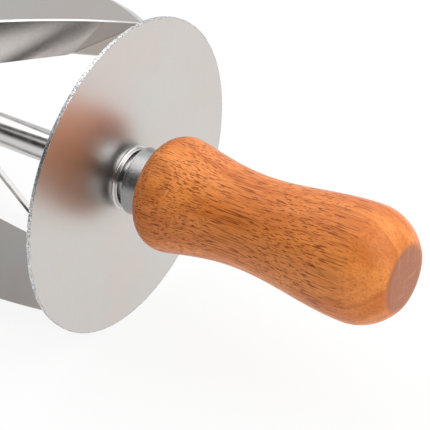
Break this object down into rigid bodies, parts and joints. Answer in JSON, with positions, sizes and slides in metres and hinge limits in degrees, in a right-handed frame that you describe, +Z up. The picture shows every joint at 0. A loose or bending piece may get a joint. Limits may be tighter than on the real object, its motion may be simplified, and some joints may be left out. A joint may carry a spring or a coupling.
{
  "type": "croissant cutter",
  "caption": "Open dough-cutting roller of slanting steel blades between round discs, on an axle whose turned wooden handles spin freely.",
  "frame": {"origin": "centre of the roller on the axle's axis, midway between the two discs", "axes": "+X along the axle towards the right handle, +Z up, so the roller's discs rest on a surface at z = -50 mm"},
  "size_m": [0.3376, 0.1, 0.1],
  "materials": {
    "satin_stainless": "satin rolled sheet, fine mottled grain",
    "polished_stainless": "polished stainless bar",
    "zinc_steel": "zinc-plated steel, turned, half gloss",
    "black_nylon": "moulded nylon",
    "bush_bronze": "sintered bronze, oiled",
    "spring_steel": "oiled spring steel",
    "lacquered_beech": "beech with short dark flecks along the grain, clear lacquer"
  },
  "bodies": {
    "roller": {"axle_rod": "polished_stainless", "cutting_blade_1": "satin_stainless", "cutting_blade_2": "satin_stainless", "cutting_blade_3": "satin_stainless", "cutting_blade_4": "satin_stainless", "end_disc_right": "satin_stainless", "hub_boss_right": "polished_stainless", "thrust_washer_right": "black_nylon", "end_washer_right": "polished_stainless", "retaining_ring_right": "spring_steel", "end_disc_left": "satin_stainless", "hub_boss_left": "polished_stainless", "thrust_washer_left": "black_nylon", "end_washer_left": "polished_stainless", "retaining_ring_left": "spring_steel"},
    "handle_right": {"wooden_handle_right": "lacquered_beech", "ferrule_right": "zinc_steel", "inner_bush_right": "bush_bronze", "outer_bush_right": "bush_bronze"},
    "handle_left": {"wooden_handle_left": "lacquered_beech", "ferrule_left": "zinc_steel", "inner_bush_left": "bush_bronze", "outer_bush_left": "bush_bronze"}
  },
  "joints": [
    {"name": "handle_right_spin", "type": "hinge", "parent": "roller", "child": "handle_right", "pos_m": [0.1185, 0, 0], "axis": [1, 0, 0], "continuous": true},
    {"name": "handle_left_spin", "type": "hinge", "parent": "roller", "child": "handle_left", "pos_m": [-0.1185, 0, 0], "axis": [1, 0, 0], "continuous": true}
  ]
}
